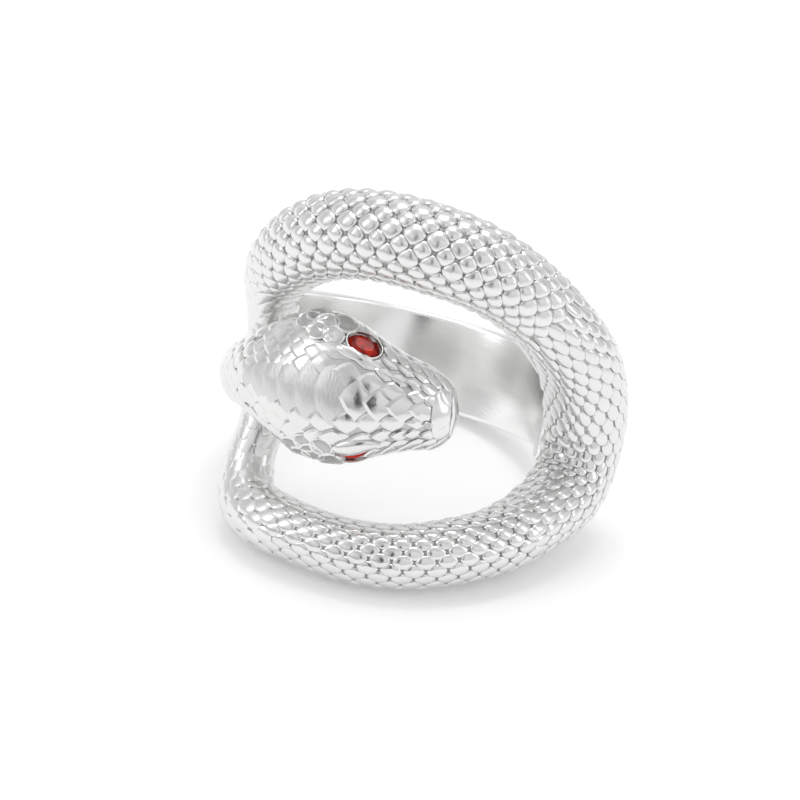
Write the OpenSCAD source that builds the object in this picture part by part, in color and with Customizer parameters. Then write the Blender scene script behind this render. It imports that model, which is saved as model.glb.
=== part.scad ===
// Snake wrap ring in cast silver with two red eye stones.
// The ring is drawn round the finger axis, which is Z, with the head facing -Y,
// and is then laid on its side the way it settles on a table.
// All sizes are in millimetres.

/* [Finger] */
// Inside diameter of the ring
finger_d = 17.4; // [16:0.2:20]

/* [Band] */
// Width of the plain band along the finger
band_w = 5.9; // [4.4:0.1:7]
// Thickness of the band's wall
band_t = 1.6; // [1.2:0.1:2.2]
// Rounding of the band's outer edges
band_edge_r = 0.3; // [0.1:0.05:0.5]

/* [Snake body] */
// Girth of the body where it crosses the front
body_d = 5.2; // [4.2:0.1:6]
// Girth of the tail where it runs under the neck
tail_d = 2.8; // [2.2:0.1:3.6]
// Height of the upper arm above the middle of the finger hole
upper_rise = 8.9; // [8.4:0.1:11]
// Drop of the lower arm below the middle of the finger hole
lower_drop = 10.3; // [9.4:0.1:12]
// How far the right-hand bend stands off the finger
bend_lift = 1.0; // [0:0.1:1.6]

/* [Scales] */
// Length of one body scale along the snake
scale_l = 1.05; // [0.9:0.05:1.6]
// Scale rows round the body
scale_rows = 20; // [12:2:24]
// Height of a scale's raised tip above the groove beside it
scale_h = 0.22; // [0.1:0.02:0.4]
// Share of its length by which a scale's tip leans towards the tail
scale_lean = 0.22; // [0:0.02:0.4]

/* [Head] */
// Width of the head across the cheeks
head_w = 9.0; // [7.6:0.1:10.4]
// Height of the crown above the finger hole's wall
head_rise = 5.6; // [4.8:0.1:6.6]
// Gap between the underside of the head and the finger hole's wall
chin_gap = 1.3; // [0.6:0.1:2]
// Height of the plates and scales on the head
plate_h = 0.24; // [0.1:0.02:0.36]

/* [Eye stones] */
// Length of a stone along the head
stone_l = 2.1; // [1.6:0.1:2.6]
// Width of a stone
stone_w = 1.45; // [1.1:0.05:1.8]
// Depth of a stone from its table to its foot
stone_depth = 0.9; // [0.6:0.05:1.2]
// Gap between a stone and its socket
stone_gap = 0.04; // [0.02:0.01:0.1]
// Width of the rim round a stone
rim_w = 0.24; // [0.2:0.02:0.5]
// Height of the rim above a stone's table
rim_rise = 0.08; // [0:0.02:0.2]
// How far a stone's table lies below the head's skin
stone_sink = 0.06; // [0:0.02:0.3]

/* [Resting on a table] */
// How far the ring leans to its right as it lies on its side
rest_lean = 6.2; // [0:0.1:12]

/* [Hidden] */

finger_r = finger_d / 2;
band_r = finger_r + band_t;
body_seat = 0.06 * body_d;
// The snake's inner side stops inside the band's wall, short of the finger
inner_r = finger_r + 0.15 * band_t;

// The ring lies on its side on the underside of the lower arm in front and on
// the band's rounded lower edge behind. A line touching both gives the tilt.
front_r = tail_d / 2 + 0.41 * (body_d - tail_d) / 2;
rest_reach = finger_r + front_r - body_seat + 0.32 * bend_lift + band_r - band_edge_r;
rest_drop = lower_drop - band_w / 2 + band_edge_r;
rest_tilt = atan2(rest_drop, rest_reach) + asin((front_r - band_edge_r) / norm([rest_reach, rest_drop]));

// The band runs round the back from the loop's left side to its bend
band_from = 72;
band_to = -58;

// Share of the space between the bend and the finger that the bend's inner side fills
inner_fill = 0.4;

// Columns of the loop table
TURN = 0;
HEIGHT = 1;
GIRTH = 2;
LIFT = 3;
RELIEF = 4;

// The snake's closed loop, from under the neck up to the upper arm, round the
// right-hand bend and back along the lower arm to the tail under the neck.
// turn: degrees round the finger from the front, more to the right
// height: share of upper_rise, or where it is negative of lower_drop
// girth: 0 is tail_d and 1 is body_d
// lift: share of bend_lift
// relief: share of scale_h
//  turn  height  girth  lift  relief
loop = [
    [-63, -0.13, 0.00, 0.05, 0.2],
    [-67, 0.18, 0.12, 0.05, 0.5],
    [-63, 0.49, 0.53, 0.15, 0.9],
    [-51, 0.72, 0.82, 0.18, 1.0],
    [-36, 0.90, 0.99, 0.18, 1.0],
    [-20, 0.99, 1.03, 0.22, 1.0],
    [-3, 1.00, 1.04, 0.30, 1.0],
    [14, 0.95, 0.96, 0.40, 1.0],
    [30, 0.82, 0.88, 0.54, 1.0],
    [45, 0.63, 0.86, 0.70, 1.0],
    [59, 0.41, 0.90, 0.84, 1.0],
    [69, 0.13, 0.90, 0.96, 1.0],
    [74, -0.15, 0.84, 1.05, 1.0],
    [71.5, -0.40, 0.74, 1.12, 1.0],
    [59, -0.60, 0.60, 0.90, 1.0],
    [44, -0.76, 0.51, 0.67, 1.0],
    [28, -0.87, 0.49, 0.52, 1.0],
    [12, -0.96, 0.45, 0.40, 1.0],
    [-5, -1.00, 0.41, 0.32, 1.0],
    [-21, -0.99, 0.38, 0.27, 0.9],
    [-39, -0.96, 0.46, 0.22, 0.7],
    [-49.5, -0.885, 0.38, 0.20, 0.5],
    [-55, -0.69, 0.20, 0.14, 0.3],
    [-56, -0.42, 0.06, 0.05, 0.2]
];

// Columns of the head table
WIDTH = 1;
CROWN = 2;
CHIN = 3;
DRIFT = 4;

// The neck and head, from where the neck leaves the band to the tip of the snout.
// width: share of head_w
// crown: share of head_rise, chin: share of chin_gap
// drift: share of head_w by which the middle lies above the middle of the finger hole
//  turn  width  crown  chin  drift
head = [
    [-120, 0.30, 0.24, 0.40, -0.22],
    [-106, 0.38, 0.34, 0.40, -0.24],
    [-92, 0.42, 0.44, 0.40, -0.24],
    [-78, 0.45, 0.55, 0.45, -0.23],
    [-66, 0.48, 0.68, 0.60, -0.20],
    [-56, 0.55, 0.80, 0.80, -0.16],
    [-47, 0.68, 0.90, 0.95, -0.13],
    [-39, 0.84, 0.96, 1.00, -0.11],
    [-31, 0.97, 0.99, 1.00, -0.10],
    [-23, 1.00, 1.00, 1.00, -0.09],
    [-15, 0.94, 0.99, 1.00, -0.09],
    [-8, 0.80, 0.96, 1.05, -0.08],
    [-1, 0.67, 0.92, 1.15, -0.07],
    [5, 0.59, 0.88, 1.25, -0.06],
    [10, 0.53, 0.82, 1.40, -0.06],
    [14, 0.41, 0.74, 1.60, -0.05],
    [17, 0.20, 0.62, 2.00, -0.05]
];

// Where the eyes sit: the turn, and the angle round the section from the cheek to the crown
eye_turn = -11.8;
eye_angle = 31;

// How far the head's cross-sections are turned from the finger axis,
// and how far the crown leans over towards the lower cheek
head_lean = 9;
head_roll = 4;

// Rows of points round the head and neck, and the length from one ring of them to the next
head_rows = 24;
head_step = 0.55;

// The plates along the crown lie within this angle of its middle, between these turns
plate_angle = 24;
plates_from = -52;
plates_to = -17;

function wrap(i, n) = ((i % n) + n) % n;
function cubic(a, b, c, d, u) =
    (2 * b + (c - a) * u + (2 * a - 5 * b + 4 * c - d) * u * u + (3 * b - a - 3 * c + d) * u * u * u) / 2;

// A row of a table between its rows, on a smooth curve through them
function closed_row(table, t) =
    let(n = len(table), i = floor(t))
    cubic(table[wrap(i - 1, n)], table[wrap(i, n)], table[wrap(i + 1, n)], table[wrap(i + 2, n)], t - i);
function open_row(table, t) =
    let(last = len(table) - 1, i = max(0, min(last - 1, floor(t))))
    cubic(table[max(i - 1, 0)], table[i], table[i + 1], table[min(i + 2, last)], t - i);

function round_finger(r, turn, z) = [r * sin(turn), -r * cos(turn), z];
function unit(v) = v / norm(v);

// The snake's loop
function girth(row) = tail_d + row[GIRTH] * (body_d - tail_d);
function rise(share) = share > 0 ? share * upper_rise : share * lower_drop;
function stand_off(row) = girth(row) / 2 - body_seat + row[LIFT] * bend_lift;
function loop_middle(row) = round_finger(finger_r + stand_off(row), row[TURN], rise(row[HEIGHT]));

function running_length(points) =
    [for (i = 0, s = 0; i < len(points); s = s + norm(points[min(i + 1, len(points) - 1)] - points[i]), i = i + 1) s];
loop_steps = 10 * len(loop);
loop_along = running_length([for (k = [0:loop_steps]) loop_middle(closed_row(loop, k / 10))]);
loop_length = loop_along[loop_steps];
loop_lookup = [for (k = [0:loop_steps]) [loop_along[k], k / 10]];
loop_rings = 2 * round(loop_length / scale_l);

function loop_row(s) = closed_row(loop, lookup(s < 0 ? s + loop_length : s >= loop_length ? s - loop_length : s, loop_lookup));

// A point of the body's skin. Every second point is a scale's raised tip, and the
// others lie in the grooves, so that each scale is a low four-sided dome.
function skin_point(i, j) =
    let(
        tip = (i + j) % 2 == 0,
        s = i * loop_length / loop_rings + (tip ? scale_lean * scale_l : 0),
        row = loop_row(s),
        middle = loop_middle(row),
        along = unit(loop_middle(loop_row(s + 0.1)) - loop_middle(loop_row(s - 0.1))),
        radial = unit([middle.x, middle.y, 0]),
        out = unit(radial - (radial * along) * along),
        side = cross(out, along),
        angle = 360 * (j + 0.5) / scale_rows,
        relief = row[RELIEF] * scale_h * girth(row) / body_d * (tip ? 0.5 : -0.5),
        half = girth(row) / 2 + relief,
        depth = half + (sin(angle) > 0 ? 0 : inner_fill * row[LIFT] * bend_lift),
        p = middle + side * half * cos(angle) + out * depth * sin(angle),
        r = norm([p.x, p.y])
    )
    r < inner_r ? [p.x * inner_r / r, p.y * inner_r / r, p.z] : p;

function cell(a, b, c, d, even) = even ? [[a, b, d], [b, c, d]] : [[a, b, c], [a, c, d]];
function flat(list) = [for (inner = list) for (item = inner) item];

module body() {
    points = [for (i = [0:loop_rings - 1]) for (j = [0:scale_rows - 1]) skin_point(i, j)];
    faces = flat([
        for (i = [0:loop_rings - 1]) for (j = [0:scale_rows - 1])
            let(i2 = (i + 1) % loop_rings, j2 = (j + 1) % scale_rows)
            cell(i * scale_rows + j, i2 * scale_rows + j, i2 * scale_rows + j2, i * scale_rows + j2, (i + j) % 2 == 0)
    ]);
    polyhedron(points, faces, convexity = 6);
}

// The neck and head
function head_point(row, angle, relief) =
    let(
        crown = finger_r + row[CROWN] * head_rise,
        chin = finger_r + row[CHIN] * chin_gap,
        cheek = chin + 0.42 * (crown - chin),
        up = sin(angle) > 0,
        width = row[WIDTH] * head_w / 2 * sign(cos(angle)) * pow(abs(cos(angle)), up ? 1.15 : 0.8),
        reach = up ? (crown - cheek) * pow(sin(angle), 1.1) : -(cheek - chin) * pow(-sin(angle), 0.7)
    )
    round_finger(
        cheek + reach + relief * sin(angle),
        row[TURN] - atan(width * tan(head_lean) / crown),
        row[DRIFT] * head_w + width - reach * tan(head_roll) + relief * cos(angle)
    );
function head_middle(row) = head_point(row, 90, 0);

head_steps = 10 * (len(head) - 1);
head_along = running_length([for (k = [0:head_steps]) head_middle(open_row(head, k / 10))]);
head_length = head_along[head_steps];
head_lookup = [for (k = [0:head_steps]) [head_along[k], k / 10]];
head_rings = round(head_length / head_step);

function head_row(s) = open_row(head, lookup(s, head_lookup));
function is_plate(row, angle) =
    row[TURN] > plates_from && row[TURN] < plates_to && abs(angle - 90) < plate_angle;
function head_relief(i, j, row, angle) =
    i == 0 || i == head_rings ? 0 :
    (is_plate(row, angle) ? i % 2 == 0 : (i + j) % 2 == 0) ? plate_h / 2 : -plate_h / 2;
function head_skin(i, j) =
    let(row = head_row(i * head_length / head_rings), angle = 360 * (j + 0.5) / head_rows)
    head_point(row, angle, head_relief(i, j, row, angle));

module neck_and_head() {
    points = [for (i = [0:head_rings]) for (j = [0:head_rows - 1]) head_skin(i, j)];
    sides = flat([
        for (i = [0:head_rings - 1]) for (j = [0:head_rows - 1])
            let(j2 = (j + 1) % head_rows)
            cell(i * head_rows + j, (i + 1) * head_rows + j, (i + 1) * head_rows + j2, i * head_rows + j2, (i + j) % 2 == 0)
    ]);
    ends = [[for (j = [0:head_rows - 1]) j], [for (j = [head_rows - 1:-1:0]) head_rings * head_rows + j]];
    polyhedron(points, concat(sides, ends), convexity = 6);
}

// The band, a plain hoop with rounded outer edges and an open front
module band() {
    inner_w = band_w - 2 * band_edge_r;
    rotate([0, 0, band_from - 90])
    rotate_extrude(angle = 360 - band_from + band_to, $fn = 96) {
        translate([finger_r, -inner_w / 2]) square([band_t, inner_w]);
        translate([finger_r, -band_w / 2]) square([band_t - band_edge_r, band_w]);
        for (z = [-inner_w / 2, inner_w / 2])
            translate([band_r - band_edge_r, z]) circle(band_edge_r, $fn = 24);
    }
}

// An eye's place on the head: its origin on the skin, X along the head and Z outwards
module at_eye(side) {
    s = lookup(eye_turn, [for (k = [0:head_steps]) [open_row(head, k / 10)[TURN], head_along[k]]]);
    row = head_row(s);
    angle = side > 0 ? eye_angle : 180 - eye_angle;
    place = head_point(row, angle, 0);
    along = unit(head_point(head_row(s + 0.5), angle, 0) - head_point(head_row(s - 0.5), angle, 0));
    across = unit(head_point(row, angle + 6, 0) - head_point(row, angle - 6, 0));
    out = unit(cross(across, along));
    mid = unit(cross(out, along));
    multmatrix([
        [along.x, mid.x, out.x, place.x],
        [along.y, mid.y, out.y, place.y],
        [along.z, mid.z, out.z, place.z]
    ]) translate([0, 0, -stone_sink]) children();
}

function oval(l, w) = [for (k = [0:11]) [l / 2 * cos(30 * k), w / 2 * sin(30 * k)]];

module rim(side) {
    at_eye(side)
    translate([0, 0, -stone_depth])
    linear_extrude(stone_depth + rim_rise)
    polygon(oval(stone_l + 2 * (stone_gap + rim_w), stone_w + 2 * (stone_gap + rim_w)));
}

module socket(side) {
    at_eye(side)
    translate([0, 0, -stone_depth - stone_gap])
    linear_extrude(stone_depth + 2)
    polygon(oval(stone_l + 2 * stone_gap, stone_w + 2 * stone_gap));
}

// A cut stone: a flat table, a ring of crown facets, a straight girdle and a tapered foot
module stone() {
    levels = [[0.45, -stone_depth], [1, -0.45 * stone_depth], [1, -0.3 * stone_depth], [0.6, 0]];
    n = 12;
    points = [for (level = levels) for (p = oval(stone_l, stone_w)) [p.x * level[0], p.y * level[0], level[1]]];
    sides = [for (k = [0:2]) for (j = [0:n - 1]) [k * n + j, (k + 1) * n + j, (k + 1) * n + (j + 1) % n, k * n + (j + 1) % n]];
    ends = [[for (j = [0:n - 1]) j], [for (j = [n - 1:-1:0]) 3 * n + j]];
    polyhedron(points, concat(sides, ends), convexity = 2);
}

// Turns the ring from its upright place round the finger axis to the way it lies
module at_rest() {
    rotate([-rest_tilt, 0, 0]) rotate([0, rest_lean, 0]) children();
}

module snake_ring() {
    color("gainsboro") at_rest() difference() {
        union() {
            band();
            body();
            neck_and_head();
            rim(1);
            rim(-1);
        }
        socket(1);
        socket(-1);
    }
}

module eye_upper() {
    color("firebrick") at_rest() at_eye(1) stone();
}

module eye_lower() {
    color("firebrick") at_rest() at_eye(-1) stone();
}

snake_ring();
eye_upper();
eye_lower();
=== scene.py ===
# %% [markdown]
# # A snake wrap ring in cast silver
#
# The ring is one silver casting: a plain polished band that is open at the front, a scaled
# snake's body that loops across that opening, and a head that lies over the loop. Two cut
# red stones are set in the head as eyes.

import math

import bpy
import numpy as np
from mathutils import Matrix, Vector


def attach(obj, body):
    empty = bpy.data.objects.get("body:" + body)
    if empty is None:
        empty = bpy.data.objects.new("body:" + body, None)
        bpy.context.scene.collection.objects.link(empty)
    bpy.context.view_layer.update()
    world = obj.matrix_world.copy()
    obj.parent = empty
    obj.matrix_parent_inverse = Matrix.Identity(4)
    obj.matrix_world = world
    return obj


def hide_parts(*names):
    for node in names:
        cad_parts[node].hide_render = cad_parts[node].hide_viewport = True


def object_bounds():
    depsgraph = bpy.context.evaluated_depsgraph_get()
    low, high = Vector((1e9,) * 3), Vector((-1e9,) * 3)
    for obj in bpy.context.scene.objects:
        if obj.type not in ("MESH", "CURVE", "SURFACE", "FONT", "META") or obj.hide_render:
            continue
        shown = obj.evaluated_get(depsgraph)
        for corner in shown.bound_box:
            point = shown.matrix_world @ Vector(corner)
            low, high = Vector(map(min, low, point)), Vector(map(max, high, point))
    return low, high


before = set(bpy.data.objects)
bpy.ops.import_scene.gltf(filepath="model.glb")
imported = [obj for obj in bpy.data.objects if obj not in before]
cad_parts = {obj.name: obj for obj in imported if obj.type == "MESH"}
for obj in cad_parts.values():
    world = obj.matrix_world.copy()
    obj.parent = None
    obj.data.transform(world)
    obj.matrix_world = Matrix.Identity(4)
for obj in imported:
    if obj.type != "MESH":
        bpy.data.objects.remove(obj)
cad_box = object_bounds()
print("CAD box", [[round(v, 4) for v in corner] for corner in cad_box])

# %% [markdown]
# The ring was drawn upright round the finger axis and then laid on its side, as it settles
# on a table. Its curves are far easier to describe upright, so every silver piece is made
# in that upright frame in millimetres and is laid down with one matrix at the end.

# %% Sizes of the ring, in millimetres
MM = 0.001
FINGER_R, BAND_T, BAND_W, BAND_EDGE = 8.7, 1.6, 5.9, 0.3
BODY_D, TAIL_D, UPPER_RISE, LOWER_DROP, BEND_LIFT = 5.2, 2.8, 8.9, 10.3, 1.0
HEAD_W, HEAD_RISE, CHIN_GAP = 9.0, 5.6, 1.3
HEAD_LEAN, HEAD_ROLL = math.radians(9), math.radians(4)
BODY_SEAT, INNER_FILL, INNER_R = 0.06 * BODY_D, 0.4, FINGER_R + 0.15 * BAND_T
EYE_TURN, STONE_L, STONE_W = -11.8, 2.1, 1.45
REST_TILT, REST_LEAN = math.radians(24.52), math.radians(6.2)
LAY_DOWN = Matrix.Rotation(-REST_TILT, 4, "X") @ Matrix.Rotation(REST_LEAN, 4, "Y")
print("Finger axis at rest", [round(v, 3) for v in LAY_DOWN @ Vector((0, 0, 1))])

# %% [markdown]
# ## The paths that the snake follows
#
# A sculptor would bend a wax rod round a finger gauge and mark where it crosses the front.
# The table below holds those marks: the turn round the finger, the height, the girth, how
# far the rod stands off the finger and how deep the scales are there. A smooth curve
# through the marks gives a frame at every place along the snake, which later carries
# flat sheets of scales onto the round body.

# %% The snake's loop
# turn, height, girth, lift, relief
LOOP = np.array([
    [-63, -0.13, 0.00, 0.05, 0.2], [-67, 0.18, 0.12, 0.05, 0.5], [-63, 0.49, 0.53, 0.15, 0.9],
    [-51, 0.72, 0.82, 0.18, 1.0], [-36, 0.90, 0.99, 0.18, 1.0], [-20, 0.99, 1.03, 0.22, 1.0],
    [-3, 1.00, 1.04, 0.30, 1.0], [14, 0.95, 0.96, 0.40, 1.0], [30, 0.82, 0.88, 0.54, 1.0],
    [45, 0.63, 0.86, 0.70, 1.0], [59, 0.41, 0.90, 0.84, 1.0], [69, 0.13, 0.90, 0.96, 1.0],
    [74, -0.15, 0.84, 1.05, 1.0], [71.5, -0.40, 0.74, 1.12, 1.0], [59, -0.60, 0.60, 0.90, 1.0],
    [44, -0.76, 0.51, 0.67, 1.0], [28, -0.87, 0.49, 0.52, 1.0], [12, -0.96, 0.45, 0.40, 1.0],
    [-5, -1.00, 0.41, 0.32, 1.0], [-21, -0.99, 0.38, 0.27, 0.9], [-39, -0.96, 0.46, 0.22, 0.7],
    [-49.5, -0.885, 0.38, 0.20, 0.5], [-55, -0.69, 0.20, 0.14, 0.3], [-56, -0.42, 0.06, 0.05, 0.2],
])
print("The loop has", len(LOOP), "marks")


# %% A smooth curve through the marks
def smooth_rows(table, t, closed):
    """Rows of a table at the places t between its rows, on a smooth curve through them."""
    n = len(table)
    i = np.floor(t).astype(int)
    i = i if closed else np.clip(i, 0, n - 2)
    u = (t - i)[:, None]
    a, b, c, d = (table[(i + k) % n] if closed else table[np.clip(i + k, 0, n - 1)]
                  for k in (-1, 0, 1, 2))
    bow, twist = 2 * a - 5 * b + 4 * c - d, 3 * b - a - 3 * c + d
    return (2 * b + (c - a) * u + bow * u ** 2 + twist * u ** 3) / 2


def unit(v):
    return v / np.linalg.norm(v, axis=-1, keepdims=True)


def round_finger(r, turn, z):
    """A point r from the finger axis, turned to the right from the front by turn degrees."""
    turn = np.radians(turn)
    return np.stack([r * np.sin(turn), -r * np.cos(turn), z], axis=-1)


# %% The loop's frame at every place
STEPS, TANGENT_STEPS = 2400, 12
rows = smooth_rows(LOOP, np.linspace(0, len(LOOP), STEPS + 1), True)
girth = TAIL_D + rows[:, 2] * (BODY_D - TAIL_D)
stand_off = girth / 2 - BODY_SEAT + rows[:, 3] * BEND_LIFT
height = np.where(rows[:, 1] > 0, rows[:, 1] * UPPER_RISE, rows[:, 1] * LOWER_DROP)
middle = round_finger(FINGER_R + stand_off, rows[:, 0], height)
loop_s = np.concatenate([[0], np.cumsum(np.linalg.norm(np.diff(middle, axis=0), axis=1))])
LOOP_LENGTH = loop_s[-1]
ahead_of, behind = (np.roll(middle[:-1], k, axis=0) for k in (-TANGENT_STEPS, TANGENT_STEPS))
along = unit(ahead_of - behind)
along = np.vstack([along, along[:1]])
radial = unit(middle * [1, 1, 0])
outward = unit(radial - np.sum(radial * along, axis=1, keepdims=True) * along)
sideways = np.cross(outward, along)
LOOP_COLUMNS = np.column_stack([middle, outward, sideways, girth, rows[:, 3], rows[:, 4]])
print("The loop is", round(float(LOOP_LENGTH), 1), "mm long")


def on_loop(s, angle, lift):
    """Points on the body: s mm along it, angle round it (90 is outermost), lift mm proud."""
    c = np.column_stack([np.interp(s % LOOP_LENGTH, loop_s, col) for col in LOOP_COLUMNS.T])
    a = np.radians(angle)[:, None]
    half = c[:, 9:10] / 2 + lift[:, None]
    depth = half + np.where(np.sin(a) > 0, 0, INNER_FILL * c[:, 10:11] * BEND_LIFT)
    p = c[:, :3] + unit(c[:, 6:9]) * half * np.cos(a) + unit(c[:, 3:6]) * depth * np.sin(a)
    r = np.linalg.norm(p[:, :2], axis=1)
    p[:, :2] *= np.where(r < INNER_R, INNER_R / r, 1)[:, None]
    return p


# %% The neck and head
# turn, width, crown, chin, drift
HEAD = np.array([
    [-120, 0.30, 0.24, 0.40, -0.22], [-106, 0.38, 0.34, 0.40, -0.24],
    [-92, 0.42, 0.44, 0.40, -0.24],
    [-78, 0.45, 0.55, 0.45, -0.23], [-66, 0.48, 0.68, 0.60, -0.20], [-56, 0.55, 0.80, 0.80, -0.16],
    [-47, 0.68, 0.90, 0.95, -0.13], [-39, 0.84, 0.96, 1.00, -0.11], [-31, 0.97, 0.99, 1.00, -0.10],
    [-23, 1.00, 1.00, 1.00, -0.09], [-15, 0.94, 0.99, 1.00, -0.09], [-8, 0.80, 0.96, 1.05, -0.08],
    [-1, 0.67, 0.92, 1.15, -0.07], [5, 0.59, 0.88, 1.25, -0.06], [10, 0.53, 0.82, 1.40, -0.06],
    [14, 0.41, 0.74, 1.60, -0.05], [17, 0.20, 0.62, 2.00, -0.05],
])
print("The neck and head have", len(HEAD), "marks")
SNOUT_ROUND, HEAD_STEPS = 0.9, 1601
CHEEK_LEVEL, TOP_FULLNESS, LOW_FULLNESS, TOP_RISE, LOW_RISE = 0.42, 1.15, 0.8, 1.1, 0.7


def head_section(c, angle, lift):
    """Points on the head's sections c at angle degrees (0 upper cheek, 90 crown), lift mm proud."""
    a = np.radians(angle)
    turn, width, crown, chin, drift = c.T
    crown, chin = FINGER_R + crown * HEAD_RISE, FINGER_R + chin * CHIN_GAP
    cheek = chin + CHEEK_LEVEL * (crown - chin)
    up = np.sin(a) > 0
    fullness = np.where(up, TOP_FULLNESS, LOW_FULLNESS)
    across = width * HEAD_W / 2 * np.sign(np.cos(a)) * np.abs(np.cos(a)) ** fullness
    rise = np.abs(np.sin(a)) ** np.where(up, TOP_RISE, LOW_RISE)
    reach = np.where(up, crown - cheek, chin - cheek) * rise
    turned = turn - np.degrees(np.arctan(across * math.tan(HEAD_LEAN) / crown))
    z = drift * HEAD_W + across - reach * math.tan(HEAD_ROLL) + lift * np.cos(a)
    return round_finger(cheek + reach + lift * np.sin(a), turned, z)


# %% The head's frame at every place
head_rows = smooth_rows(HEAD, np.linspace(0, len(HEAD) - 1, HEAD_STEPS), False)
crown_line = head_section(head_rows, np.full(HEAD_STEPS, 90.0), np.zeros(HEAD_STEPS))
head_s = np.concatenate([[0], np.cumsum(np.linalg.norm(np.diff(crown_line, axis=0), axis=1))])
HEAD_LENGTH = head_s[-1]
print("The neck and head are", round(float(HEAD_LENGTH), 1), "mm long")


def on_head(s, angle, lift):
    """Points on the neck and head: s mm along the crown, angle degrees round, lift mm proud."""
    s = np.clip(s, 0, HEAD_LENGTH)
    c = np.column_stack([np.interp(s, head_s, col) for col in head_rows.T])
    p = head_section(c, angle, lift)
    centre = head_section(c, np.full(len(c), 90.0), np.zeros(len(c)))
    low = head_section(c, np.full(len(c), 270.0), np.zeros(len(c)))
    end = np.clip((s - (HEAD_LENGTH - SNOUT_ROUND)) / SNOUT_ROUND, 0, 1)[:, None]
    return p + ((centre + low) / 2 - p) * (1 - np.sqrt(1 - end ** 2))


def head_place(turn):
    """How far along the crown, in mm, a turn in degrees lies."""
    return float(np.interp(turn, head_rows[:, 0], head_s))


# %% [markdown]
# ## Helpers for modelling
#
# Each piece starts as one of Blender's primitives and is shaped in edit mode. The scales
# are shaped flat and then carried onto the curved body point by point, which is what a
# Curve modifier does for one path; here the path also needs its own girth and inner wall.


# %% Small helpers
def start(name):
    """Names the new primitive and puts its mesh in edit mode with all of it selected."""
    piece = bpy.context.active_object
    piece.name = piece.data.name = name
    bpy.ops.object.mode_set(mode="EDIT")
    bpy.ops.mesh.select_all(action="SELECT")
    return piece


def deselect():
    bpy.ops.object.select_all(action="DESELECT")


def points_of(piece):
    co = np.empty(3 * len(piece.data.vertices))
    piece.data.vertices.foreach_get("co", co)
    return co.reshape(-1, 3)


def move_points(piece, co):
    piece.data.vertices.foreach_set("co", np.ascontiguousarray(co, dtype=float).ravel())
    piece.data.update()


def lay_down(piece):
    """Takes a piece from the upright frame in millimetres to its place in the resting ring."""
    co = points_of(piece) * MM
    move_points(piece, co @ np.array(LAY_DOWN.to_3x3()).T)


def outward_faces(piece, merge=0.0):
    """Merges points closer than merge and turns all faces outwards."""
    deselect()
    bpy.context.view_layer.objects.active = piece
    piece.select_set(True)
    bpy.ops.object.mode_set(mode="EDIT")
    bpy.ops.mesh.select_all(action="SELECT")
    if merge:
        bpy.ops.mesh.remove_doubles(threshold=merge)
    bpy.ops.mesh.normals_make_consistent(inside=False)
    bpy.ops.object.mode_set(mode="OBJECT")


def smooth(piece, angle=40):
    deselect()
    bpy.context.view_layer.objects.active = piece
    piece.select_set(True)
    bpy.ops.object.shade_smooth_by_angle(angle=math.radians(angle))


def finish_silver(piece, *finishes):
    """Gives a silver piece its finishes and says that it stands for the CAD ring."""
    for index, finish in enumerate(finishes):
        if index < len(piece.data.materials):
            piece.data.materials[index] = finish
        else:
            piece.data.materials.append(finish)
    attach(piece, "root")
    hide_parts("snake_ring")
    print(piece.name, "has", sum(len(p.vertices) - 2 for p in piece.data.polygons), "triangles")


# %% [markdown]
# ## Silver
#
# Cast silver is a bright metal whose look comes from what it reflects, so each finish is
# mostly a roughness. The band is buffed and shows soft, long reflections. The scales on the
# bend, the lower arm and the head are bright with tiny casting pits. Those of the upper arm
# and the tail come from the tumbler a little duller, and the crown's plates are brushed
# across. A buff can't reach the grooves, which stay frosted and grey: the frosting is real,
# and their darker grey tone is painted shade. One noise lets the roughness and the tone
# wander, and a finer one makes small bumps.


# %% Silver finishes
CLOUD_GRAIN, CLOUD_DARK, RELIEF_DEPTH = 420, 0.93, 0.04 * MM


def silver(name, tone, roughness, spread, grain, bump, stretch=(1, 1, 1)):
    """A silver with a roughness that wanders by spread and fine bumps grain to the metre."""
    material = bpy.data.materials.new(name)
    material.use_nodes = True
    nodes, links = material.node_tree.nodes, material.node_tree.links
    shader = nodes["Principled BSDF"]
    shader.inputs["Metallic"].default_value = 1.0
    place = nodes.new("ShaderNodeTexCoord")
    mapping = nodes.new("ShaderNodeMapping")
    mapping.inputs["Scale"].default_value = stretch
    links.new(place.outputs["Object"], mapping.inputs["Vector"])
    cloud, fine = nodes.new("ShaderNodeTexNoise"), nodes.new("ShaderNodeTexNoise")
    for noise, scale, detail in ((cloud, CLOUD_GRAIN, 4), (fine, grain, 3)):
        noise.inputs["Scale"].default_value = scale
        noise.inputs["Detail"].default_value = detail
        links.new(mapping.outputs["Vector"], noise.inputs["Vector"])
    rough = nodes.new("ShaderNodeMapRange")
    rough.inputs["To Min"].default_value = roughness - spread
    rough.inputs["To Max"].default_value = roughness + spread
    links.new(cloud.outputs["Fac"], rough.inputs["Value"])
    links.new(rough.outputs["Result"], shader.inputs["Roughness"])
    colour = nodes.new("ShaderNodeValToRGB")
    colour.color_ramp.elements[0].color = (*[CLOUD_DARK * c for c in tone], 1)
    colour.color_ramp.elements[1].color = (*tone, 1)
    links.new(cloud.outputs["Fac"], colour.inputs["Fac"])
    links.new(colour.outputs["Color"], shader.inputs["Base Color"])
    relief = nodes.new("ShaderNodeBump")
    relief.inputs["Strength"].default_value = bump
    relief.inputs["Distance"].default_value = RELIEF_DEPTH
    links.new(fine.outputs["Fac"], relief.inputs["Height"])
    links.new(relief.outputs["Normal"], shader.inputs["Normal"])
    return material


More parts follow.
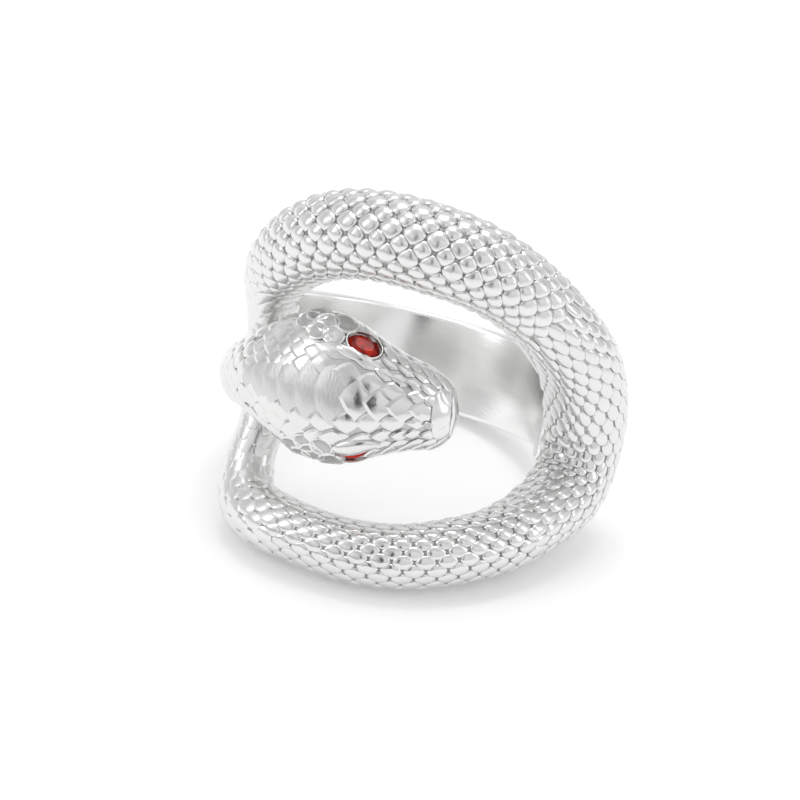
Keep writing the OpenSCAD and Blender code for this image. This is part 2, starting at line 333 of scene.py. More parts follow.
# %% The five finishes
polished = silver("polished_silver", (0.97, 0.97, 0.965), 0.22, 0.04, 1800, 0.12, (1, 1, 5))
bright = silver("bright_scale_silver", (0.785, 0.785, 0.78), 0.18, 0.05, 3200, 0.18)
tumbled = silver("tumbled_scale_silver", (0.81, 0.81, 0.805), 0.25, 0.06, 3200, 0.25)
satin = silver("satin_plate_silver", (0.68, 0.68, 0.68), 0.34, 0.06, 2600, 1.0, (4, 0.6, 0.6))
# The frosted finish's darker tone is painted shade for the grooves, gaps and hollows that wear it.
frosted_and_shaded = silver("frosted_shaded_groove_silver", (0.56, 0.56, 0.555), 0.42, 0.08, 5200, 0.6)
print("Silver finishes:", [finish.name for finish in (polished, bright, tumbled, satin, frosted_and_shaded)])

# %% [markdown]
# ## The plain band
#
# The band is a strip of one section bent round the finger. The Spin tool makes exactly
# that: one rounded rectangle, turned about the finger axis from the bend to the neck. Its
# inner wall runs out into the snake's at both ends, as a file would blend the two.

# %% The band
BAND_FROM, BAND_SWEEP, BAND_STEPS = 72, 230, 115
deselect()
bpy.ops.mesh.primitive_plane_add(size=1, location=(0, 0, 0))
band = start("band")
bpy.ops.transform.resize(value=(BAND_T, BAND_W, 1))
bpy.ops.mesh.bevel(offset=BAND_EDGE, offset_type="OFFSET", segments=5, affect="VERTICES")
bpy.ops.object.mode_set(mode="OBJECT")
flat = points_of(band)
where = math.radians(BAND_FROM)
r = FINGER_R + BAND_T / 2 + flat[:, 0]
move_points(band, np.column_stack([r * math.sin(where), -r * math.cos(where), flat[:, 1]]))
bpy.ops.object.mode_set(mode="EDIT")
bpy.ops.mesh.select_all(action="SELECT")
bpy.ops.mesh.spin(
    steps=BAND_STEPS, angle=-math.radians(BAND_SWEEP), center=(0, 0, 0), axis=(0, 0, 1))
bpy.ops.object.mode_set(mode="OBJECT")

# %% Blend the band's inner wall at both ends
RUN_OUT, BURIED = 9, 0.05
p = points_of(band)
along_band = (np.degrees(np.arctan2(p[:, 0], -p[:, 1])) - BAND_FROM) % 360
from_end = np.minimum(along_band, BAND_SWEEP - along_band)
reach = np.hypot(p[:, 0], p[:, 1])
inner_half = np.clip(1 - (reach - FINGER_R) / (BAND_T / 2), 0, 1)
blend = np.clip(1 - from_end / RUN_OUT, 0, 1) ** 2 * inner_half
p[:, :2] *= (1 + blend * (INNER_R + BURIED - FINGER_R) / reach)[:, None]
move_points(band, p)
print("The inner wall runs out over", RUN_OUT, "degrees at", int(np.count_nonzero(blend)), "points")
outward_faces(band, merge=0.0005)
lay_down(band)
smooth(band, 35)
finish_silver(band, polished)

# %% [markdown]
# ## The body under its scales
#
# A caster sees the body as a plain tube first and the scales second. The tube is a torus
# whose turns are read as places along the loop, so it closes on itself with no seam. It lies
# a little under the scales as the floor of the grooves, frosted, and its darker tone paints
# the grooves' shade. The side that touches the finger is polished, so its faces get the
# band's finish.

# %% The body's tube
GROOVE, INNER_SIDE = -0.11, -0.78
deselect()
bpy.ops.mesh.primitive_torus_add(
    major_segments=288, minor_segments=40, major_radius=2, minor_radius=1, location=(0, 0, 0))
tube = bpy.context.active_object
tube.name = tube.data.name = "body_tube"
p = points_of(tube)
turn = np.arctan2(p[:, 1], p[:, 0]) / (2 * math.pi)
round_angle = np.degrees(np.arctan2(p[:, 2], np.hypot(p[:, 0], p[:, 1]) - 2))
move_points(tube, on_loop(turn * LOOP_LENGTH, round_angle, np.full(len(p), GROOVE)))
for face in tube.data.polygons:
    outwards = np.mean(np.sin(np.radians(round_angle[list(face.vertices)])))
    face.material_index = int(outwards < INNER_SIDE)
outward_faces(tube)
lay_down(tube)
smooth(tube, 60)
# The frosted tube's darker tone is painted shade in the grooves between the scales.
finish_silver(tube, frosted_and_shaded, polished)

# %% [markdown]
# ## One scale, and many
#
# The scales repeat well over a thousand times, so one of each kind is modelled and copied.
# It starts as a round disc, is extruded up in steps that draw in, and is squeezed into an
# oval or a blunt diamond. A slope makes the free edge stand proud, so that each scale laps
# over the next, as on a fish. Its walls stay frosted, and their darker tone paints a thin
# grey line of shade round it.
# A pattern has few faces, because every copy repeats them.


# %% Model one scale
WALL_PART = 0.6


def model_scale(name, corners, steps, point, slope):
    """A low dome 2 across. A low point makes it a diamond, and its free edge lies along +X."""
    deselect()
    bpy.ops.mesh.primitive_circle_add(
        vertices=corners, radius=1, fill_type="NGON", location=(0, 0, 0))
    scale = start(name)
    for draw_in, lift in steps:
        bpy.ops.mesh.extrude_region_move(TRANSFORM_OT_translate={"value": (0, 0, lift)})
        bpy.ops.transform.resize(value=(draw_in, draw_in, 1))
    bpy.ops.object.mode_set(mode="OBJECT")
    p = points_of(scale)
    r = np.hypot(p[:, 0], p[:, 1])
    a = np.arctan2(p[:, 1], p[:, 0])
    blunt = (np.abs(np.cos(a)) ** point + np.abs(np.sin(a)) ** point) ** (-1 / point)
    p[:, 0], p[:, 1] = r * blunt * np.cos(a), r * blunt * np.sin(a)
    for finish in (bright, frosted_and_shaded):
        scale.data.materials.append(finish)
    # Wall faces get the frosted finish, whose darker tone is painted shade round each scale.
    for face in scale.data.polygons:
        face.material_index = int(face.center.z < WALL_PART * steps[0][1])
    p[:, 2] *= 1 - slope * (1 - p[:, 0]) / 2
    move_points(scale, p)
    outward_faces(scale)
    print(name, "has", len(p), "points")
    return scale


# %% The body's three kinds of scale
PEAK = [(0.92, 0.50), (0.74, 0.27), (0.36, 0.22)]
LAP = [(0.95, 0.52), (0.80, 0.26), (0.45, 0.16)]
DOME = [(0.93, 0.55), (0.76, 0.30), (0.45, 0.12)]
pebble = model_scale("one_pebble", 16, PEAK, 1.42, 0.12)
fish_scale = model_scale("one_fish_scale", 12, LAP, 2.3, 0.62)
oval = model_scale("one_oval", 12, DOME, 1.8, 0.28)

# %% [markdown]
# The scales stand in staggered rings, like bricks. An Array modifier makes the copies in one
# mesh, and then every point is carried onto the tube by itself, so that wide copies curve
# with the body. On the upper arm they are peaked pebbles, larger and smaller by turns, whose
# tips rise near the bend. Round the bend they lap like a fish's, along the lower arm they
# are long ovals, and towards the tail they are broad and dull and fade out. None lie
# against the finger, where the casting is smooth.


# %% Copy a scale along the body
APART, SMOOTH_BELOW = 10, -0.8


def copies(source, name, places, onto):
    """One mesh of many copies of source, each carried to its place by onto."""
    deselect()
    source.select_set(True)
    bpy.context.view_layer.objects.active = source
    bpy.ops.object.duplicate()
    piece = bpy.context.active_object
    piece.name = piece.data.name = name
    array = piece.modifiers.new("copies", "ARRAY")
    array.use_relative_offset, array.use_constant_offset = False, True
    array.constant_offset_displace = (APART, 0, 0)
    array.count = len(places)
    bpy.ops.object.modifier_apply(modifier=array.name)
    shape = points_of(piece)[:len(source.data.vertices)]
    move_points(piece, np.vstack([onto(shape, place) for place in places]))
    outward_faces(piece)
    lay_down(piece)
    return piece


def staggered(s_from, s_to, pitch, count, uneven=0.0):
    """Places and sizes between two lengths of the loop, in rings half a column apart."""
    rings = round((s_to - s_from) / pitch)
    places = []
    for i in range(rings):
        s = s_from + (s_to - s_from) * (i + 0.5) / rings
        size = 1 + uneven * (-1) ** i
        angles = [360 * (j + 0.5 * (i % 2)) / count for j in range(count)]
        places += [(s, angle, size) for angle in angles
                   if math.sin(math.radians(angle)) > SMOOTH_BELOW]
    return places


# %% Where the four stretches begin and end
BEND_FIRST, BEND_LAST, BACK_TURN, TAIL_TURN, TAIL_LEVEL = 36, 50, 8, -30, -0.5


def first_place(chosen):
    return float(loop_s[np.argmax(chosen)])


def last_place(chosen):
    return float(loop_s[len(rows) - 1 - np.argmax(chosen[::-1])])


turns, upper_arm, lower_arm = rows[:, 0], rows[:, 1] > 0, rows[:, 1] < 0
bend_starts = first_place(upper_arm & (turns > BEND_FIRST))
bend_ends = last_place(lower_arm & (turns > BEND_LAST))
turn_back = last_place(lower_arm & (turns > BACK_TURN))
tail_starts = first_place((rows[:, 1] < TAIL_LEVEL) & (turns < TAIL_TURN))
print("The bend starts, the bend ends and the tail starts at",
      [round(s, 1) for s in (bend_starts, bend_ends, tail_starts)], "mm")

# %% Scales of the four stretches
SCALE_H, LEAST_H, BED = 0.27, 0.07, -0.14
FADE_GROWTH, TIP_RUN, TIP_DROP = 0.16, 5.0, 0.25


def onto_body(half_length, half_width, leans_back=False, proud=1.0, tips_up_at=None):
    """Carries a scale of this half size, in mm, onto the body at its place."""
    def carry(shape, place):
        s, angle, size = place
        local_girth, depth = (float(np.interp(s, loop_s, col)) for col in (girth, rows[:, 4]))
        grow = 1 + FADE_GROWTH * (1 - depth)
        spread = size * grow * math.degrees(half_width / (local_girth / 2))
        way = -1 if leans_back and s > turn_back else 1
        top = BED + shape[:, 2] * (LEAST_H + proud * SCALE_H * depth ** 2 * local_girth / BODY_D)
        if tips_up_at:
            tip = min(max(1 - (tips_up_at - s) / TIP_RUN, 0), 1)
            top -= TIP_DROP * tip * (1 - shape[:, 0]) * (top - BED)
        ahead = way * size * grow * half_length * shape[:, 0]
        return on_loop(s + ahead, angle + spread * shape[:, 1], top)
    return carry


for source, name, places, onto, finish in (
        (pebble, "upper_pebbles", staggered(0.4, bend_starts, 0.58, 10, 0.09),
         onto_body(0.57, 0.72, tips_up_at=bend_starts), tumbled),
        (fish_scale, "bend_scales", staggered(bend_starts - 0.1, bend_ends, 0.94, 16),
         onto_body(0.74, 0.455), bright),
        (oval, "lower_ovals", staggered(bend_ends - 0.3, tail_starts, 0.62, 10),
         onto_body(0.62, 0.52, True), bright),
        (fish_scale, "tail_scales", staggered(tail_starts - 0.1, LOOP_LENGTH, 0.74, 10),
         onto_body(0.68, 0.57, True, proud=1.6), tumbled)):
    piece = copies(source, name, places, onto)
    smooth(piece, 50)
    finish_silver(piece, finish)
    print(len(places), "copies of", source.name)

# %% [markdown]
# ## The head
#
# The head is a flattened egg that runs back into the neck. It starts as a UV sphere whose
# poles become the snout's tip and the neck's end. The mouth is a fine groove round the
# snout, and a seat is pushed in for each eye, as a setter cuts one for a stone.


# %% Where an eye sits
CROWN_AND_CHIN = np.array([90.0, 270.0])
middle_of_head = on_head(np.full(2, head_place(EYE_TURN)), CROWN_AND_CHIN, np.zeros(2)).mean(axis=0)


def eye_axes(node):
    """The middle of a stone's table, its axis along the head, across it and outwards."""
    p = points_of(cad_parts[node]) / MM @ np.array(LAY_DOWN.to_3x3())
    p = np.unique(np.round(p, 4), axis=0)
    centre = p.mean(axis=0)
    ahead, over, out = np.linalg.svd(p - centre)[2]
    out = out if out @ (centre - middle_of_head) > 0 else -out
    spans = [np.ptp((p - centre) @ axis) for axis in (ahead, over, out)]
    print(node, "measures", [round(float(span), 2) for span in spans])
    return centre + np.max((p - centre) @ out) * out, ahead, over, out


EYES = {side: eye_axes(node) for side, node in (("upper", "eye_upper"), ("lower", "eye_lower"))}
for side, axes in EYES.items():
    print("The", side, "stone's table is at", np.round(axes[0], 2).tolist())

# %% The head's core
SKIN, AT_POLE, AT_NECK_END = -0.15, 1e-4, 0.01
SEAT_DEPTH, SEAT_ROOM, SEAT_SLOPE, SEAT_REACH = 0.36, 0.06, 0.12, 1.5
MOUTH_DEPTH, MOUTH_FROM_CROWN, MOUTH_HALF, MOUTH_LENGTH, LIP = 0.16, 76, 5.0, 7.5, 0.3
deselect()
bpy.ops.mesh.primitive_uv_sphere_add(segments=128, ring_count=220, radius=1, location=(0, 0, 0))
core = bpy.context.active_object
core.name = core.data.name = "head_core"
p = points_of(core)
t = (1 - np.degrees(np.arccos(np.clip(p[:, 2], -1, 1))) / 180) * HEAD_LENGTH
angle = np.degrees(np.arctan2(p[:, 1], p[:, 0]))
pole = np.hypot(p[:, 0], p[:, 1]) < AT_POLE
from_snout = HEAD_LENGTH - t
from_mouth = np.abs(((angle + 90) % 360) - 180) - MOUTH_FROM_CROWN
mouth = np.exp(-(from_mouth / MOUTH_HALF) ** 2) * (from_snout < MOUTH_LENGTH) * (from_snout > LIP)
points = on_head(t, angle, SKIN - MOUTH_DEPTH * mouth)
neck_end = on_head(np.zeros(2), CROWN_AND_CHIN, np.zeros(2)).mean(axis=0)
points[pole & (t < AT_NECK_END)] = neck_end
for centre, ahead, over, out in EYES.values():
    q = points - centre
    oval_r = np.hypot(q @ ahead / (STONE_L / 2 + SEAT_ROOM), q @ over / (STONE_W / 2 + SEAT_ROOM))
    seat = np.clip((1 + SEAT_SLOPE - oval_r) / SEAT_SLOPE, 0, 1) * (np.abs(q @ out) < SEAT_REACH)
    points -= seat[:, None] * (np.maximum(q @ out, -SEAT_DEPTH) + SEAT_DEPTH)[:, None] * out
move_points(core, points)
outward_faces(core)
lay_down(core)
smooth(core, 45)
# The frosted core shows between the head's scales, and its darker tone is painted shade there.
finish_silver(core, frosted_and_shaded)

# %% [markdown]
# ## Plates and scales on the head
#
# A snake's head has big plates on the crown, kites down the snout and smaller pointed
# scales at the sides, all with their free edges towards the neck. The same patterns and
# copies serve here, with another carrier that lays them on the head. A row is listed by its
# turns round the finger and its angle from the crown, which is below zero on the upper side.


# %% Carry a shape onto the head
NUDGE_ANGLE, NUDGE = 3, 0.3


def onto_head(shape, place):
    """place: turn, angle from the crown, length, width, height and sink, in degrees and mm."""
    turn, off, length, width, height, sink = place
    s, a = head_place(turn), 90 + off
    ring = on_head(np.full(2, s), np.array([a - NUDGE_ANGLE, a + NUDGE_ANGLE]), np.zeros(2))
    step = on_head(np.array([s - NUDGE, s + NUDGE]), np.full(2, a), np.zeros(2))
    across = 2 * NUDGE_ANGLE / np.linalg.norm(ring[1] - ring[0])
    lengthwise = 2 * NUDGE / np.linalg.norm(step[1] - step[0])
    side = np.sign(off) if off else 1
    return on_head(s - shape[:, 0] * length / 2 * lengthwise,
                   a + side * shape[:, 1] * width / 2 * across, shape[:, 2] * height - sink)


def both_sides(places):
    """The places and their mirror images beyond the crown line."""
    pairs = []
    for turn, off, *sizes in places:
        pairs += [(turn, off, *sizes), (turn, -off, *sizes)]
    return pairs


def row(turns, off, length, width, height=0.28, sink=0.19):
    return [(turn, off, length, width, height, sink) for turn in turns]


def spread(first, last, count):
    return [first + (last - first) * k / (count - 1) for k in range(count)]


# %% [markdown]
# Six broad plates lie along the crown and widen towards the eyes. They could be cut into the
# core as grooves, but real plates overlap. So one low dome gets many corners, for a clean
# outline, and a long slope that dips its front edge under the plate before it, like a roof
# tile.

# %% Crown plates
SHIELD = [(0.96, 0.6), (0.86, 0.22), (0.6, 0.12), (0.5, 0.04)]
plate = model_scale("one_plate", 28, SHIELD, 2.2, 0.72)
crown_places = (
    row([-43.5], 3, 1.7, 1.7) + row([-39], 3, 1.9, 2.1) + row([-34], 2, 2.1, 2.5)
    + row([-28.8], 1, 2.2, 2.9) + row([-23], 0.5, 2.4, 3.1) + row([-17.2], 0, 2.5, 2.9))
plates = copies(plate, "crown_plates", crown_places, onto_head)
smooth(plates, 45)
finish_silver(plates, satin)

# %% [markdown]
# The kites are diamonds with a low peak and a raised free edge. The photo shows the two
# sides at different angles and they don't quite match, so the upper and the lower side have
# their own rows. The rows that turn under the cheeks hardly show and are mirrored. On the
# lower side the kites are a little smaller, which leaves a frosted line of painted shade
# open between them.
# They are smoothed only where faces nearly agree, so each facet catches the light alone.

# %% Kites down the snout and the head's sides
kite = model_scale("one_kite", 12, [(0.96, 0.6), (0.74, 0.24), (0.30, 0.16)], 1.25, 0.78)
upper_places = (
    row([-43.5], -14, 1.7, 1.5) + row([-39.5, -34.5, -30, -26], -21, 1.9, 1.6)
    + row([-21], -25, 2.1, 1.7) + row([-14], -24, 2.1, 1.7) + row([-8], -23, 2.0, 1.6)
    + row([-2.5], -21, 1.9, 1.4)
    + row([-42, -37, -32.3, -28], -33, 1.9, 1.6) + row([-23.5], -33, 2.0, 1.3)
    + row([-39.5, -34.8], -45, 1.9, 1.5) + row([-30.3], -43, 1.9, 1.4) + row([-26.3], -42, 1.7, 1.2)
    + row([-19], -40, 2.9, 1.1) + row([-10.3], -42, 2.4, 0.95)
    + row([-5, -1, 3, 7], -38, 1.5, 0.95) + row([-4, 0.5, 5, 9], -54, 1.5, 0.9)
    + row([-4.0, -0.2, 3.4, 7, 10.5], -68, 1.5, 1.1, 0.40) + row([4, 8.5], -22, 1.5, 0.9))
lower_places = (
    row([-41], 20, 1.8, 1.6) + row([-36.5, -32], 27, 1.9, 1.7) + row([-26.5], 29, 2.0, 1.8)
    + row([-20], 26, 2.1, 1.8) + row([-13.5], 23, 2.0, 1.7) + row([-8], 22, 1.8, 1.6)
    + row([-2], 20, 1.8, 1.4)
    + row([-39, -34], 41, 2.0, 1.7) + row([-28.5], 46, 2.3, 1.9) + row([-22], 44, 2.1, 1.5)
    + row([-17], 40, 2.6, 1.4, 0.40) + row([-9.5], 41, 2.4, 1.1, 0.40)
    + row([-4.5, 0.5], 38, 1.8, 1.1)
    + row([3.5, 8], 36, 1.5, 0.9) + row([-4, 0.5, 5, 9], 54, 1.5, 0.9) + row([4], 18, 1.5, 1.0)
    + row([-6.5, -2, 2.5, 6.5, 10.5], 68, 1.6, 1.1, 0.40) + row([-44.5], 31, 1.9, 1.7))
LOWER_FIT, LOWER_HEIGHT, LOWER_SINK = 0.93, 0.36, 0.22
lower_places = [
    (turn, off, LOWER_FIT * length, LOWER_FIT * width, max(height, LOWER_HEIGHT), LOWER_SINK)
    for turn, off, length, width, height, _ in lower_places]
middle_places = (
    row([-11.5], -1, 2.2, 2.1) + row([-5.8], -1, 2.1, 1.8) + row([0], -1, 2.1, 1.5)
    + row([5.5], -2, 2.0, 1.2))
cheek_places = both_sides(
    row(spread(-45, -31, 4), 60, 1.8, 1.5) + row(spread(-43, 8, 12), 88, 1.7, 1.4)
    + row(spread(-45, 5, 12), 106, 1.7, 1.5) + row(spread(-43, 3, 11), 126, 1.7, 1.6)
    + row(spread(-45, 1, 11), 150, 1.7, 1.8))
kite_places = upper_places + lower_places + middle_places + cheek_places
side_scales = copies(kite, "head_side_scales", kite_places, onto_head)
smooth(side_scales, 12)
finish_silver(side_scales, bright)

# %% [markdown]
# A brow is a long ridge that shades the stone. It could be pulled out of the core, but that
# would need many more faces there. The body's oval, drawn out, gives the same ridge. The
# lower one stands tall enough to hide most of its stone from the front, as in the photo.

# %% Brows over the eyes
brow_places = row([-14.5], -43.5, 2.6, 0.8, 0.34) + row([-11.2], 49, 3.2, 1.15, 0.61)
brows = copies(oval, "brows", brow_places, onto_head)
smooth(brows, 40)
finish_silver(brows, bright)

# %% [markdown]
# The tip of the snout is closed by a broad plate with a lip in front of it and two small
# plates at each side. The crown's plate serves again, so that all plates have one kind of
# edge. Here it is bright instead of brushed, as if it were rubbed by wear.

# %% Plates round the tip of the snout
tip_places = row([11.5], 0, 1.9, 2.5, 0.22, 0.14) + row([15.2], 0, 1.3, 2.9, 0.26, 0.16)
tip_places += both_sides(
    row([12.5], 34, 1.5, 1.2, 0.24, 0.15) + row([13], 62, 1.5, 1.2, 0.24, 0.15))
tip_plates = copies(plate, "snout_plates", tip_places, onto_head)
smooth(tip_plates, 45)
finish_silver(tip_plates, bright)

# %% [markdown]
# The neck's scales are ovals in staggered rings that grow towards the head. A bump in the
# material could draw them, but the outline of the neck would stay smooth, so they are true
# copies. They hardly touch, and the frosted core shows as a net of painted shade between
# them.

# %% Neck scales
NECK_RINGS, NECK_COLUMNS, NECK_START = 20, 12, -164.9
NECK_HEIGHT, NECK_SINK = 0.26, 0.17
neck_places = []
for k, turn in enumerate(spread(-112, -47, NECK_RINGS)):
    grow = k / (NECK_RINGS - 1)
    length, width = 1.05 + 0.45 * grow, 0.80 + 0.55 * grow
    for j in range(NECK_COLUMNS):
        off = NECK_START + 360 / NECK_COLUMNS * (j + 0.5 * (k % 2))
        neck_places.append((turn, off, length, width, NECK_HEIGHT, NECK_SINK))
neck_scales = copies(oval, "neck_scales", neck_places, onto_head)
smooth(neck_scales, 40)
finish_silver(neck_scales, bright)

# %% [markdown]
# Behind each eye lie round scales with a bright edge and a dull, slightly sunk floor. A
# dome would look like a bubble there. So the pattern is a cup: its last steps go down
# again, and the faces of its floor are frosted, whose darker tone paints shade in the
# hollow. Two tiny cups serve as nostrils.

# %% Round temple scales and the nostrils
CUP, CUP_FLOOR = [(0.96, 0.70), (0.88, 0.12), (0.90, -0.18), (0.5, -0.03)], 0.7
cup = model_scale("one_cup", 24, CUP, 2.1, 0.20)
# The cup's floor gets the frosted finish: painted shade in the hollow.
for face in cup.data.polygons:
    if math.hypot(face.center.x, face.center.y) < CUP_FLOOR:
        face.material_index = 1
cup_places = both_sides(
    row([-25.5, -20.6], 53, 1.65, 1.4, 0.34, 0.20) + row([-29.8, -23.7], 65, 1.8, 1.6, 0.34, 0.20)
    + row([-18.6], 75, 1.8, 1.6, 0.34, 0.20) + row([-27.8], 78, 1.8, 1.6, 0.34, 0.20)
    + row([7.2], 19, 0.7, 0.5, 0.30, 0.18))
cups = copies(cup, "temple_scales", cup_places, onto_head)
smooth(cups, 45)
finish_silver(cups, bright)

# %% [markdown]
# ## The eyes
#
# Each stone sits in a thin raised rim, pushed over its edge by the setter. The rim is a
# torus drawn out to the stone's oval and made taller. Its inner wall is frosted, because a
# bright one would mirror the red all round, and the frosted finish's darker tone paints
# shade beside the stone. The stones come from the CAD model, which has their table, crown
# facets, girdle and foot.


# %% Rims
RIM_OUT, RIM_THICK, RIM_TALL, RIM_LIFT, RIM_WALL = 0.12, 0.075, 2.2, 0.01, 0.3
for side, (centre, ahead, over, out) in EYES.items():
    deselect()
    bpy.ops.mesh.primitive_torus_add(
        major_segments=64, minor_segments=14, major_radius=1, minor_radius=RIM_THICK,
        location=(0, 0, 0))
    rim = bpy.context.active_object
    rim.name = rim.data.name = "rim_" + side
    p = points_of(rim)
    tilt = np.arctan2(p[:, 1], p[:, 0])
    out_by = np.hypot(p[:, 0], p[:, 1]) - 1 + RIM_OUT
    x = (STONE_L / 2 + out_by) * np.cos(tilt)
    y = (STONE_W / 2 + out_by) * np.sin(tilt)
    z = RIM_TALL * (p[:, 2] - RIM_THICK) + RIM_LIFT
    move_points(rim, centre + x[:, None] * ahead + y[:, None] * over + z[:, None] * out)
    for face in rim.data.polygons:
        face_out = np.mean(out_by[list(face.vertices)])
        face.material_index = int(face_out < RIM_OUT - RIM_WALL * RIM_THICK)
    outward_faces(rim)
    lay_down(rim)
    smooth(rim, 60)
    finish_silver(rim, bright, frosted_and_shaded)

# %% [markdown]
# The stones are deep red and only a little clear. Clear glass would mostly show the frosted
# seat behind it, so most of the colour sits on the facets. A noise paints light and shade
# on them, from a dark to a lively red, in place of the light that crosses a stone, and the
# low roughness keeps the facets sharp. White reflections are held back, because they would
# turn the red pink.

# %% Red stone
STONE_LIGHT_GRAIN = 1500
red = bpy.data.materials.new("cut_red_stone")
red.use_nodes = True
nodes, links = red.node_tree.nodes, red.node_tree.links
shader = nodes["Principled BSDF"]
shader.inputs["Roughness"].default_value = 0.04
shader.inputs["IOR"].default_value = 1.5
shader.inputs["Specular IOR Level"].default_value = 0.2
shader.inputs["Transmission Weight"].default_value = 0.15
# Painted light: this noise varies the red from dark to lively in place of light crossing the stone.
stone_light_noise = nodes.new("ShaderNodeTexNoise")
stone_light_noise.inputs["Scale"].default_value = STONE_LIGHT_GRAIN
place = nodes.new("ShaderNodeTexCoord")
links.new(place.outputs["Object"], stone_light_noise.inputs["Vector"])
depth = nodes.new("ShaderNodeValToRGB")
deep, lively = depth.color_ramp.elements
deep.position, deep.color = 0.35, (0.17, 0.002, 0.001, 1)
lively.position, lively.color = 0.65, (0.72, 0.018, 0.002, 1)
links.new(stone_light_noise.outputs["Fac"], depth.inputs["Fac"])
links.new(depth.outputs["Color"], shader.inputs["Base Color"])
for node in ("eye_upper", "eye_lower"):
    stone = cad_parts[node]
    for slot in stone.material_slots:
        slot.material = red
print("Stones:", red.name)

# %% [markdown]
# The patterns were only masters for the copies. A caster puts the masters back in the
# drawer, and here they leave the scene.

# %% Clear away the patterns
for source in (pebble, fish_scale, oval, plate, kite, cup):
    bpy.data.objects.remove(source)

# %% [markdown]
# ## Floor, light and camera
#
# Polished silver shows its surroundings, so the light is the last part of the finish. The
# floor is a light table: a dull white sheet that also glows a little, which keeps the
# ground white and leaves a soft shadow.

# %% Floor
FLOOR_GLOW = 0.17
bpy.context.scene.view_settings.view_transform = "Standard"
deselect()
bpy.ops.mesh.primitive_plane_add(size=3, location=(0, 0, cad_box[0][2]))
floor = bpy.context.active_object
floor.name = "floor"
bpy.ops.object.transform_apply(location=True, rotation=True, scale=True)
paper = bpy.data.materials.new("pale_floor")
paper.use_nodes = True
sheet = paper.node_tree.nodes["Principled BSDF"]
sheet.inputs["Base Color"].default_value = (0.90, 0.90, 0.90, 1)
sheet.inputs["Roughness"].default_value = 0.9
sheet.inputs["Emission Color"].default_value = (1, 1, 1, 1)
sheet.inputs["Emission Strength"].default_value = FLOOR_GLOW
floor.data.materials.append(paper)
print("The floor lies at", round(cad_box[0][2], 4), "m")

# %% [markdown]
# The room is pale all round and a little darker low down. Lamps alone would leave silver
# nearly black, because it would mirror the empty dark between them. Large soft grey patches,
# made with a noise, stand for the gaps between white cards and draw the forms.

# %% Room light
world = bpy.data.worlds.new("studio")
bpy.context.scene.world = world
world.use_nodes = True
nodes, links = world.node_tree.nodes, world.node_tree.links
background = nodes["Background"]
place, split, height_ramp = (nodes.new(k) for k in (
    "ShaderNodeTexCoord", "ShaderNodeSeparateXYZ", "ShaderNodeValToRGB"))
links.new(place.outputs["Generated"], split.inputs["Vector"])
links.new(split.outputs["Z"], height_ramp.inputs["Fac"])
for stop, (where, tone) in zip(height_ramp.color_ramp.elements, ((0.0, 0.79), (0.9, 0.97))):
    stop.position, stop.color = where, (tone, tone, tone, 1)
cards, card_ramp, shade = (nodes.new(k) for k in (
    "ShaderNodeTexNoise", "ShaderNodeValToRGB", "ShaderNodeMixRGB"))
cards.inputs["Scale"].default_value = 1.6
cards.inputs["Detail"].default_value = 1.0
links.new(place.outputs["Generated"], cards.inputs["Vector"])
links.new(cards.outputs["Fac"], card_ramp.inputs["Fac"])
for stop, (where, tone) in zip(card_ramp.color_ramp.elements, ((0.38, 0.68), (0.50, 1.0))):
    stop.position, stop.color = where, (tone, tone, tone, 1)
shade.blend_type = "MULTIPLY"
shade.inputs["Fac"].default_value = 1.0
links.new(height_ramp.outputs["Color"], shade.inputs["Color1"])
links.new(card_ramp.outputs["Color"], shade.inputs["Color2"])
print("Room light has", len(nodes), "nodes")

# %% [markdown]
# The small black marks on the real scales are something dark and tall in front of the ring,
# mirrored in every scale. A spherical gradient, squeezed to a tall narrow shape and turned
# to the front, darkens the room there.

# %% The dark shape in front
figure, near, figure_ramp, dim = (nodes.new(k) for k in (
    "ShaderNodeMapping", "ShaderNodeTexGradient", "ShaderNodeValToRGB", "ShaderNodeMixRGB"))
figure.vector_type = "TEXTURE"
figure.inputs["Location"].default_value = LAY_DOWN @ Vector((0.03, -1.0, 0.0)).normalized()
figure.inputs["Scale"].default_value = (0.13, 1.0, 0.44)
near.gradient_type = "SPHERICAL"
links.new(place.outputs["Generated"], figure.inputs["Vector"])
links.new(figure.outputs["Vector"], near.inputs["Vector"])
links.new(near.outputs["Fac"], figure_ramp.inputs["Fac"])
for stop, (where, tone) in zip(figure_ramp.color_ramp.elements, ((0.0, 1.0), (0.30, 0.06))):
    stop.position, stop.color = where, (tone, tone, tone, 1)
dim.blend_type = "MULTIPLY"
dim.inputs["Fac"].default_value = 1.0
links.new(shade.outputs["Color"], dim.inputs["Color1"])
links.new(figure_ramp.outputs["Color"], dim.inputs["Color2"])
links.new(dim.outputs["Color"], background.inputs["Color"])
to_figure = figure.inputs["Location"].default_value
print("The dark shape stands towards", [round(v, 2) for v in to_figure])

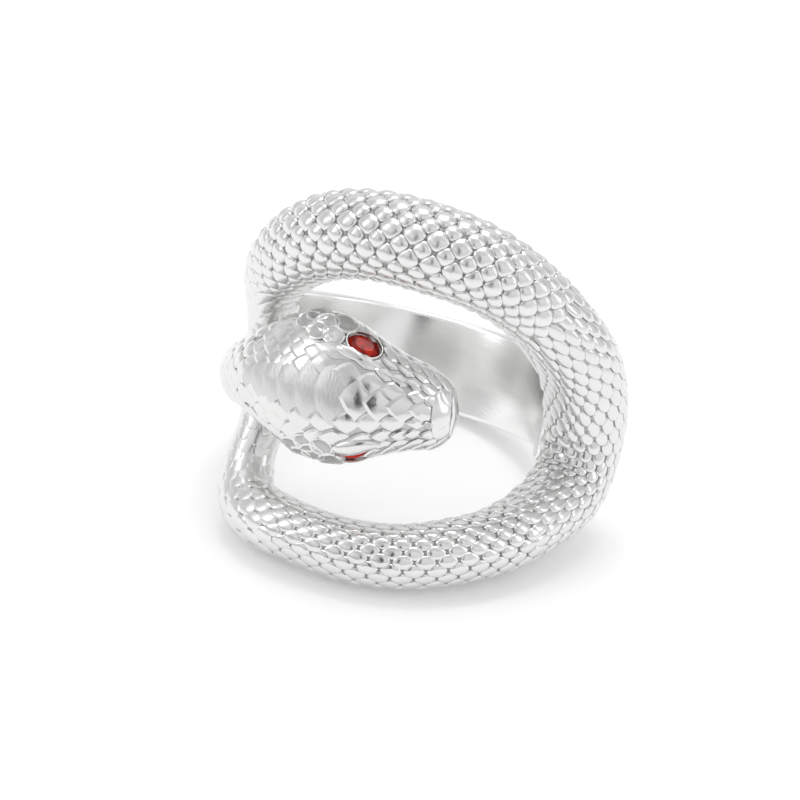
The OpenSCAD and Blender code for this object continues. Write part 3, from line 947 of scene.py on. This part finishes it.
# %% [markdown]
# Three area lamps look at the ring: a broad one above and behind it, and a tall narrow one
# at each side. Area lamps have a soft edge in a mirror, as a window has, and the narrow ones
# give the scales their white edges.


# %% Lamps
def lamp(name, place, size, power):
    data = bpy.data.lights.new(name, "AREA")
    data.shape, data.size, data.size_y, data.energy = "RECTANGLE", size[0], size[1], power
    obj = bpy.data.objects.new(name, data)
    bpy.context.scene.collection.objects.link(obj)
    obj.location = place
    obj.rotation_euler = (-Vector(place)).to_track_quat("-Z", "Y").to_euler()
    print(name, "gives", power, "W from", place)


lamp("top_lamp", (0.0, 0.12, 0.40), (0.22, 0.20), 0.52)
lamp("left_lamp", (-0.34, -0.14, 0.24), (0.14, 0.34), 0.16)
lamp("right_lamp", (0.36, -0.06, 0.18), (0.10, 0.30), 0.08)

# %% [markdown]
# The photo was taken from far away with a long lens, nearly straight at the snake's front
# and turned a little. From far away the front and the back of the ring keep nearly one
# scale. The camera is placed in the upright frame and laid down with the ring, because its
# angles are easiest to read there.

# %% Camera
VIEW_UP, VIEW_ROLL, FAR = math.radians(7), math.radians(14), 0.35
SHIFT_RIGHT, SHIFT_UP = (11 / 16) * MM, (28 / 16) * MM
toward = Vector((0, -math.cos(VIEW_UP), math.sin(VIEW_UP)))
level = Vector((0, math.sin(VIEW_UP), math.cos(VIEW_UP)))
right = math.cos(VIEW_ROLL) * Vector((1, 0, 0)) + math.sin(VIEW_ROLL) * level
up = -math.sin(VIEW_ROLL) * Vector((1, 0, 0)) + math.cos(VIEW_ROLL) * level
eye = FAR * toward - SHIFT_RIGHT * right - SHIFT_UP * up
turned = Matrix((right, up, toward)).transposed().to_4x4()
camera_data = bpy.data.cameras.new("camera")
camera_data.lens, camera_data.sensor_width = 252, 36
camera_data.clip_start = 0.01
camera = bpy.data.objects.new("camera", camera_data)
bpy.context.scene.collection.objects.link(camera)
camera.matrix_world = LAY_DOWN @ Matrix.Translation(eye) @ turned
bpy.context.scene.camera = camera
print("Camera at", [round(v, 3) for v in camera.matrix_world.translation])
